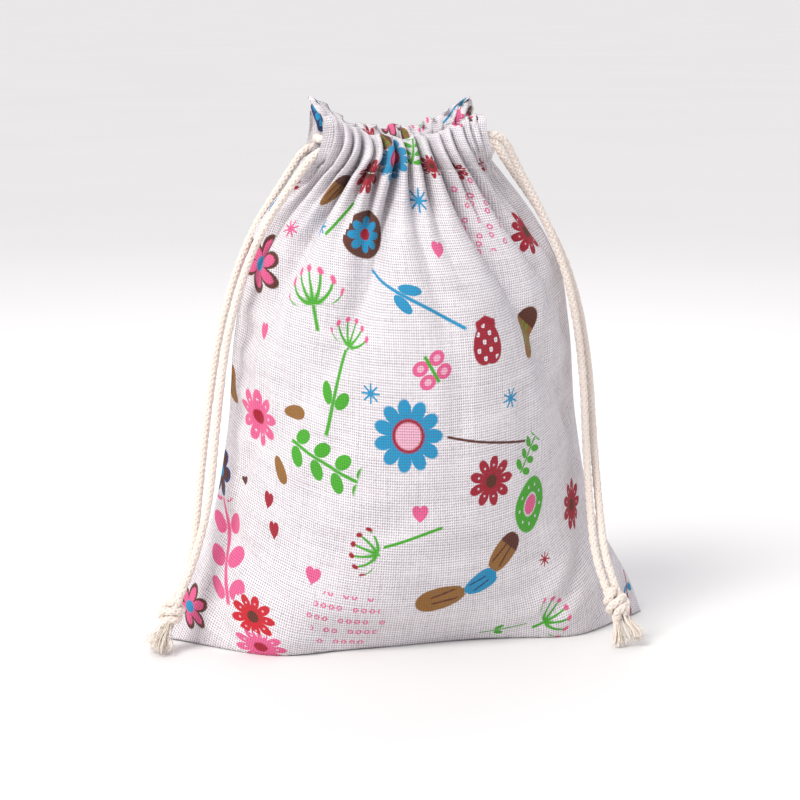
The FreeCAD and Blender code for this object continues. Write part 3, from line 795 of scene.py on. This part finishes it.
# The routes of the cords in millimetres: each tail from inside its casing, out at the slit, down to
# its knot, and each loop through both casings and round the far slit.
ROUTES = {
    "left_front": [(-16, -9.5, 188.5), (-27, -12, 190.5), (-36.5, -12, 191), (-44.5, -9.3, 179.8),
                   (-60.0, -8.5, 157.0), (-71.0, -9.0, 124.0), (-76.0, -10.5, 88.0), (-79.5, -14.5, 57.0),
                   (-86.6, -20.0, 34.6), (-93.3, -22.6, 20.3), (-95.2, -23.3, 16.3)],
    "left_back": [(-16, 9.5, 189.5), (-27, 12, 190.5), (-36.5, 12, 191), (-44.5, 9.3, 179.8),
                  (-61.5, 0.0, 157.5), (-73.0, -3.0, 125.0), (-79.0, -5.5, 89.0), (-83.2, -9.5, 58.0),
                  (-86.8, -16.2, 34.0), (-93.5, -18.8, 19.7), (-95.4, -19.5, 15.7)],
    "right_front": [(16, -9.5, 193), (27, -12, 195.5), (36.5, -12, 196), (43.6, -7.7, 182.6),
                    (55.0, -7.0, 163.0), (65.5, -8.0, 136.0), (70.0, -11.0, 104.0), (69.6, -18.0, 73.0),
                    (68.7, -28.0, 49.5), (68.1, -37.2, 33.9), (71.6, -43.9, 19.8), (72.5, -45.6, 16.2)],
    "right_back": [(16, 9.5, 194), (27, 12, 195.5), (36.5, 12, 196), (43.6, 7.7, 182.6),
                   (56.5, 1.5, 163.5), (68.5, -2.0, 137.0), (74.0, -5.5, 105.0), (74.2, -12.5, 74.0),
                   (73.2, -24.5, 51.5), (71.7, -37.2, 34.8), (75.2, -43.9, 20.7), (76.1, -45.6, 17.1)],
    "left_loop": [(-22, -11, 189.5), (-6, -8.2, 186.5), (14, -8.6, 186.5), (34, -12, 189.2),
                  (34, 12, 189.2), (14, 8.6, 187), (-6, 8.2, 187), (-22, 11, 189.8)],
    "right_loop": [(22, -11, 194.5), (6, -8.2, 191.3), (-14, -8.6, 191.8), (-34, -12, 194.5),
                   (-34, 12, 194.5), (-14, 8.6, 192.5), (6, 8.2, 192.3), (22, 11, 194.8)],
}


def curve_mesh(curve):
    """The mesh of a curve, which is then removed."""
    holder = bpy.data.objects.new(curve.name, curve)
    mesh = bpy.data.meshes.new_from_object(holder)
    bpy.data.objects.remove(holder)
    bpy.data.curves.remove(curve)
    return mesh


def route_line(points, steps=26):
    """The points along a cord's smooth spline, from its route."""
    curve = bpy.data.curves.new("route", "CURVE")
    curve.dimensions = "3D"
    curve.resolution_u = steps
    spline = curve.splines.new("NURBS")
    spline.points.add(len(points) - 1)
    for control, place in zip(spline.points, points):
        control.co = (*(Vector(place) * MM), 1)
    spline.order_u = 3
    spline.use_endpoint_u = True
    mesh = curve_mesh(curve)
    line = [vert.co.copy() for vert in mesh.vertices]
    bpy.data.meshes.remove(mesh)
    return line


def frames_along(line):
    """Each point with its run so far and two directions square to the line, without twist."""
    frames, run = [], 0.0
    across = None
    for k, place in enumerate(line):
        ahead = (line[min(k + 1, len(line) - 1)] - line[max(k - 1, 0)]).normalized()
        if across is None:
            across = ahead.orthogonal().normalized()
        else:
            run += (place - line[k - 1]).length
            across = (across - ahead * across.dot(ahead)).normalized()
        frames.append((place, run, across, ahead.cross(across)))
    return frames


def threads(name, lines, radius, roundness=1):
    """Round threads along lines of points, as one mesh."""
    curve = bpy.data.curves.new(name, "CURVE")
    curve.dimensions = "3D"
    curve.bevel_depth, curve.bevel_resolution = radius, roundness
    curve.use_fill_caps = True
    for line in lines:
        spline = curve.splines.new("POLY")
        spline.points.add(len(line) - 1)
        for point, place in zip(spline.points, line):
            point.co = (*place, 1)
    mesh = curve_mesh(curve)
    mesh.name = name
    return smooth_piece(name, mesh)


BRAID_PITCH = 9.0 * MM  # along the cord, for a yarn to go once round it
BRAID_RADIUS = 0.98 * MM  # of the yarns' middle lines
BRAID_LIFT = 0.13  # how far a yarn rises over the next, as a share of that radius
YARNS = 8
YARN = 0.66 * MM  # half the thickness of a yarn


def braid_lines(line, start=0.0):
    """Yarns, half of them each way round, that pass over and under each other along a line."""
    yarns = []
    frames = frames_along(line)
    for number in range(YARNS):
        way = 1 if number % 2 else -1
        first = (number // 2) * math.pi / 2 + (math.pi / 4 if way > 0 else 0)
        yarn = []
        for place, run, across, up in frames:
            turn = start + first + way * 2 * math.pi * run / BRAID_PITCH
            crossing = 4 * (2 * math.pi * run / BRAID_PITCH) + (number // 2) * math.pi
            lift = BRAID_LIFT * way * math.cos(crossing)
            radius = BRAID_RADIUS * (1 + lift)
            yarn.append(place + (across * math.cos(turn) + up * math.sin(turn)) * radius)
        yarns.append(yarn)
    return yarns


def braided_cord(name, line):
    piece = threads(name, braid_lines(line), YARN)
    piece.data.materials.append(CORD_FINISH)
    return piece


def soft_cotton(name, light, dark, depth):
    """Cream cotton yarn: soft, matt, with fine fibres and a little unevenness of colour."""
    finish = Finish(name, Roughness=0.88, Specular_IOR_Level=0.2, Sheen_Weight=0.35, Sheen_Roughness=0.5)
    place = finish.place()
    fibre = finish.noise(place, 2600.0, 3.0, 0.65)
    cloud = finish.noise(place, 120.0, 2.0)
    share = fibre * 0.75 + cloud * 0.45 - 0.15
    finish.set(**{"Base Color": finish.mix(share, dark, light)})
    finish.bump(fibre + cloud * 0.3, depth, 0.8)
    return finish.material


def tail(side, face):
    """A free tail, which leaves the casing at its route's third point."""
    name = f"{side}_{face}"
    line = route_line(ROUTES[name])
    piece = braided_cord(f"{name}_cord", line)
    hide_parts(f"{name}_tail")
    slit = Vector(ROUTES[name][2]) * MM
    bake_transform(piece)
    return piece, line, slit


def add_cords():
    made = {}
    for side in ("left", "right"):
        loop = braided_cord(f"{side}_loop_cord", route_line(ROUTES[f"{side}_loop"]))
        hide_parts(f"{side}_cord_loop")
        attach(loop, f"{side}_cord")
        for face in ("front", "back"):
            made[f"{side}_{face}"] = tail(side, face)
    return made


# ---------------------------------------------------------------- knots and tassels

def knot_frame(side):
    """The middle of a knot's top, its axis downwards, and the way across its two tails."""
    front, back = ([Vector(p) * MM for p in ROUTES[f"{side}_{face}"]] for face in ("front", "back"))
    axis = (front[-2] - front[-3]).normalized()
    across = (front[-2] - back[-2]).normalized()
    return (front[-2] + back[-2]) / 2, axis, across, axis.cross(across)


# the way of a knot's cords, each point as turn, radius and run below the knot's top
WOUND_IN = [(-0.9, 1.5, -0.8), (-0.3, 2.4, 1.2)]
WOUND_OUT = [(6.4, 2.2, 8.9), (6.9, 1.5, 10.6)]
WOUND_OVER = [(0.2, 1.6, 0.2), (0.5, 3.4, 2.0), (0.75, 3.9, 4.4), (1.1, 3.8, 6.6), (1.6, 3.0, 8.6),
              (2.0, 1.5, 9.8)]
WINDINGS = [(k, 0.62 * k, 2.2 + 0.62 * k) for k in range(1, 10)]  # number, turn and run
KNOT_STEPS = 12  # smooth steps from point to point


def add_knot(side):
    """Both cords wound round each other and pulled tight."""
    top, axis, across, out = knot_frame(side)
    first = 0.6 if side == "left" else 2.2

    def local(turn, radius, down):
        place = top + (across * math.cos(turn) + out * math.sin(turn)) * radius * MM + axis * down * MM
        return place / MM
    lines = []
    for strand in (0, 1):
        begin = first + strand * math.pi
        wind = [local(begin + turn, radius, down) for turn, radius, down in WOUND_IN]
        wind += [local(begin + turn, 3.15 + 0.22 * math.sin(k * 1.3 + strand), down)
                 for k, turn, down in WINDINGS]
        wind += [local(begin + turn, radius, down) for turn, radius, down in WOUND_OUT]
        lines += braid_lines(route_line(wind, KNOT_STEPS), strand)
    over = [local(first + turn, radius, down) for turn, radius, down in WOUND_OVER]
    lines += braid_lines(route_line(over, KNOT_STEPS), 1.0)
    knot = threads(f"{side}_knot_cord", lines, YARN)
    knot.data.materials.append(CORD_FINISH)
    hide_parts(f"{side}_knot")
    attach(knot, f"{side}_tails")
    return knot


FIBRES = 95  # loose fibres in a tassel
STRAND_POINTS = 8


def add_tassel(side, face, spread, bunches):
    """The cord's end below its knot, unravelled into its yarns and loose fibres."""
    top, axis, across, out = knot_frame(side)
    strand = 1 if face == "front" else -1
    root = top + axis * 9.0 * MM + across * strand * 1.7 * MM
    lines, fine = [], []
    for number in range(FIBRES + YARNS):
        thick = number >= FIBRES
        bunch = RNG.randrange(bunches)
        aim = (across * (strand * 1.6 + (bunch - (bunches - 1) / 2) * 2.4) + out * RNG.gauss(0, 0.8)) * MM
        wild = 0.45 if thick else 1.0
        aim += (across * RNG.gauss(0, spread) + out * RNG.gauss(0, spread)) * MM * wild
        reach = (10.8 if thick else RNG.uniform(8.5, 12.6)) * MM
        begin = root + (across * RNG.gauss(0, 0.7) + out * RNG.gauss(0, 0.7)) * MM
        curl, phase = RNG.uniform(0.2, 0.7) * MM, RNG.uniform(0, 6.3)
        line = []
        for step in range(STRAND_POINTS):
            t = step / (STRAND_POINTS - 1)
            place = begin + axis * reach * t + aim * t**1.4
            place += (across * math.sin(phase + 7 * t) + out * math.cos(phase + 6 * t)) * curl * t
            lift = (0.30 + 0.5 * RNG.random()) * MM
            if place.z < lift:
                push = Vector((place.x - root.x, place.y - root.y, 0))
                place += push.normalized() * min((lift - place.z) * 0.8, 2.0 * MM)
                place.z = lift
            line.append(place)
        (lines if thick else fine).append(line)
    name = f"{side}_{face}_tassel"
    yarns = threads(f"{name}_yarn", lines, 0.42 * MM)
    fibres = threads(f"{name}_fibre", fine, 0.13 * MM, 0)
    for piece in (yarns, fibres):
        piece.data.materials.append(CORD_FINISH if piece is yarns else FIBRE_FINISH)
        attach(piece, f"{side}_tails")
    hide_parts(name)
    return [yarns, fibres]


def add_all_cords():
    made = add_cords()
    for side, spread in (("left", 1.9), ("right", 1.0)):
        knot = add_knot(side)
        bunches = 2 if side == "right" else 3
        ends = {face: add_tassel(side, face, spread, bunches) for face in ("front", "back")}


# ---------------------------------------------------------------- seams and stitches

def cloth_point(u, v, side):
    return Vector(shaped(np.array([float(u)]), np.array([float(v)]), side)[0]) * MM


def sewn(name, lines, radius, half=0):
    piece = threads(name, lines, radius)
    piece.data.materials.append(THREAD_FINISH)
    if half:
        gather_with(piece)
    else:
        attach(piece, "pouch")
    return piece


STITCH_PITCH, STITCH_GAP = 2.8, 0.9


def hem_stitches(face, side, half):
    """One half of the row of stitches that closes a casing."""
    lines = []
    for number in range(int((FLAT_HALF - 6) / STITCH_PITCH)):
        start = half * (1.0 + number * STITCH_PITCH)
        u = np.linspace(start, start + half * (STITCH_PITCH - STITCH_GAP), 5)
        line = shaped(u, np.full(5, SLIT_V - 0.6), side) * MM
        lift = np.array([0.05, 0.22, 0.27, 0.22, 0.05])[:, None] * MM
        away = np.array([0.0, side, 0.25]) / math.hypot(1, 0.25)
        lines.append([Vector(p) for p in line + lift * away])
    piece = sewn(f"{face}_hem_stitches_{'left' if half < 0 else 'right'}", lines, 0.17 * MM, half)
    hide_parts(f"{face}_hem_stitching")


STRIP_ROWS = 3  # of faces across a seam allowance
ALLOWANCES_THICK = 1.4 * MM


def seam_strip(name, outer, inward, half):
    """The two seam allowances, pressed flat together, from a line of the seam inwards."""
    bm = bmesh.new()
    first = [bm.verts.new(p) for p in outer]
    line = [bm.edges.new(pair) for pair in zip(first, first[1:])]
    for _ in range(STRIP_ROWS):
        made = bmesh.ops.extrude_edge_only(bm, edges=line)["geom"]
        verts = [g for g in made if isinstance(g, bmesh.types.BMVert)]
        bmesh.ops.translate(bm, vec=Vector(inward) * MM / STRIP_ROWS, verts=verts)
        line = [g for g in made if isinstance(g, bmesh.types.BMEdge) and all(v in verts for v in g.verts)]
    # the extrusion makes edges and faces in any order, so they are put in the order of their points
    bm.verts.index_update()
    for made in (bm.edges, bm.faces):
        made.sort(key=lambda part: sum((vert.index + 1) ** 2 for vert in part.verts))
    for number, vert in enumerate(bm.verts):
        vert.co.y += 0.25 * MM * math.sin(number * 0.7) * (abs(vert.co.x) > 0)
    uv = bm.loops.layers.uv.new("weave")
    for f in bm.faces:
        for loop in f.loops:
            loop[uv].uv = (loop.vert.co.x / MM, loop.vert.co.z / MM)
    piece = new_piece(name, bm)
    piece.data.materials.append(CLOTHS[1])
    wall = piece.modifiers.new("Two Layers", "SOLIDIFY")
    wall.thickness, wall.offset = ALLOWANCES_THICK, 0
    if half:
        gather_with(piece)
    else:
        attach(piece, "pouch")
    return piece


OVERLOCK = 0.2 * MM  # half the thickness of the thread
SIDE_POINTS, BOTTOM_POINTS = 190, 160  # points along a seam, each a turn of its overlock
BOTTOM_REACH = 81.5  # half the length of the bottom seam


def overlock_line(edge, inward):
    """A thread that goes over a raw edge from face to face, once for each point of the edge."""
    line = []
    for number, place in enumerate(edge):
        face = 1 if number % 2 else -1
        bite = 0.9 if number % 4 < 2 else 0.1
        line.append(place + Vector((0, face * 0.95 * MM, 0)) - Vector(inward) * MM * bite)
    return line


def side_seam(name, half):
    up = np.linspace(6, SLIT_V - 1, SIDE_POINTS)
    seam = [Vector(p) * MM for p in shaped(np.full(SIDE_POINTS, half * FLAT_HALF), up, -1)]
    for place in seam:
        place.x -= half * 0.7 * MM
    strip = seam_strip(f"{name}_side_allowance", seam[::2], (-half * 8, 0, 0), half)
    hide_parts(f"{name}_side_seam")
    edge = [place + Vector((-half * 8.2 * MM, 0, 0)) for place in seam]
    zigzag = sewn(f"{name}_side_overlock", [overlock_line(edge, (-half, 0, 0))], OVERLOCK, half)
    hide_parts(f"{name}_seam_overlock")


def bottom_seam():
    seam = [Vector((x * MM, 0, 1.2 * MM)) for x in np.linspace(-BOTTOM_REACH, BOTTOM_REACH, BOTTOM_POINTS)]
    strip = seam_strip("bottom_allowance", seam[::2], (0, 0, 7), 0)
    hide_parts("bottom_seam")
    edge = [place + Vector((0, 0, 7.2 * MM)) for place in seam]
    zigzag = sewn("bottom_overlock", [overlock_line(edge, (0, 0, 1))], OVERLOCK)
    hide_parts("bottom_seam_overlock")


TACK_WIDTH = 3.6
TACK_TURNS = 26


def bar_tack(name, half):
    """Close zigzag thread across the foot of a side slit."""
    foot = cloth_point(half * FLAT_HALF, SLIT_V, -1)
    line = []
    for number in range(TACK_TURNS + 1):
        x = foot.x - half * (TACK_WIDTH * number / TACK_TURNS - 0.3) * MM
        face = 1 if number % 2 else -1
        rise = 0.9 * MM * (1 - (number / TACK_TURNS - 0.5)**2)
        line.append(Vector((x, face * 1.9 * MM, foot.z - 0.6 * MM + rise)))
        line.append(Vector((x - half * 0.05 * MM, 0, foot.z + 0.4 * MM + rise)))
    tack = sewn(f"{name}_tack_thread", [line], 0.22 * MM, half)
    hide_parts(f"{name}_bar_tack")


def add_seams():
    for half, name in ((-1, "left"), (1, "right")):
        side_seam(name, half)
        bar_tack(name, half)
        for face, side in (("front", -1), ("back", 1)):
            hem_stitches(face, side, half)
    bottom_seam()


# ---------------------------------------------------------------- stage, light and camera

FLOOR_RADIUS = 40.0  # so wide that its far edge is above the view


def set_stage():
    bm = bmesh.new()
    bmesh.ops.create_circle(bm, cap_ends=True, segments=64, radius=FLOOR_RADIUS)
    floor = new_piece("studio_floor", bm)
    floor.data.materials.append(studio_white())


def studio_white():
    finish = Finish("Studio White", Roughness=0.75, Specular_IOR_Level=0.2)
    finish.set(**{"Base Color": finish.mix(finish.noise(finish.place(), 3.0), (0.905, 0.90, 0.895),
                                           (0.925, 0.92, 0.915))})
    return finish.material


def add_light(name, place, target, size, watts, color):
    light = bpy.data.lights.new(name, "AREA")
    light.shape, light.size, light.energy, light.color = "DISK", size, watts, color
    lamp = bpy.data.objects.new(name, light)
    lamp.location = place
    lamp.rotation_euler = (Vector(target) - Vector(place)).to_track_quat("-Z", "Y").to_euler()
    bpy.context.scene.collection.objects.link(lamp)


SKY, SKY_STRENGTH = (0.95, 0.945, 0.985, 1), 0.74
WINDOW_WAY, WINDOW_STRENGTH, WINDOW_SIZE = (0.62, 0.42, -0.80), 1.35, math.radians(28)


def set_lights():
    world = bpy.data.worlds.new("Studio")
    world.use_nodes = True
    background = world.node_tree.nodes["Background"]
    background.inputs["Color"].default_value = SKY
    background.inputs["Strength"].default_value = SKY_STRENGTH
    bpy.context.scene.world = world
    sun = bpy.data.lights.new("window", "SUN")
    sun.energy, sun.angle, sun.color = WINDOW_STRENGTH, WINDOW_SIZE, (1.0, 0.985, 0.96)
    window = bpy.data.objects.new("window", sun)
    window.rotation_euler = Vector(WINDOW_WAY).to_track_quat("-Z", "Y").to_euler()
    bpy.context.scene.collection.objects.link(window)
    add_light("key", (-0.75, -0.55, 0.95), (0, 0, 0.08), 0.55, 5.0, (1.0, 0.98, 0.95))
    add_light("back", (0.15, 0.7, 0.85), (0, 0, 0.12), 0.6, 2.5, (1.0, 1.0, 1.0))
    scene = bpy.context.scene
    scene.view_settings.view_transform = "Standard"
    scene.view_settings.look = "None"


VIEW_TURN = math.radians(12)  # the camera stands to the pouch's left of its front
VIEW_DISTANCE, VIEW_HEIGHT = 1.0, 0.262
VIEW_PITCH = math.radians(9.7)
VIEW_SIDEWAYS = math.radians(-0.09)  # a touch past the pouch's middle
SENSOR_WIDTH = 36.0
FOCAL = 3.2125  # focal length over the width of the sensor


def set_camera():
    camera = bpy.data.cameras.new("camera")
    camera.sensor_width, camera.lens = SENSOR_WIDTH, SENSOR_WIDTH * FOCAL
    camera.clip_start, camera.clip_end = 0.05, 20
    eye = bpy.data.objects.new("camera", camera)
    eye.location = (-VIEW_DISTANCE * math.sin(VIEW_TURN), -VIEW_DISTANCE * math.cos(VIEW_TURN), VIEW_HEIGHT)
    eye.rotation_euler = (math.pi / 2 - VIEW_PITCH, 0, -VIEW_TURN - VIEW_SIDEWAYS)
    bpy.context.scene.collection.objects.link(eye)
    bpy.context.scene.camera = eye


set_camera()
set_lights()
set_stage()
CLOTHS = [printed_cloth(), lining_cloth()]
CORD_FINISH = soft_cotton("Braided Cotton Cord", (0.972, 0.938, 0.905), (0.89, 0.83, 0.785), 0.00012)
FIBRE_FINISH = soft_cotton("Loose Cotton Fibre", (0.97, 0.94, 0.90), (0.90, 0.85, 0.79), 0.00004)
THREAD_FINISH = soft_cotton("Sewing Thread", (0.95, 0.93, 0.93), (0.86, 0.83, 0.83), 0.00004)
for side, face in ((-1, "front"), (1, "back")):
    for half, end in ((-1, "left"), (1, "right")):
        piece = cloth_piece(f"{face}_cloth_{end}", side, half, shaped)
        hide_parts(f"{face}_panel", f"{face}_casing_{end}")
add_seams()
add_all_cords()
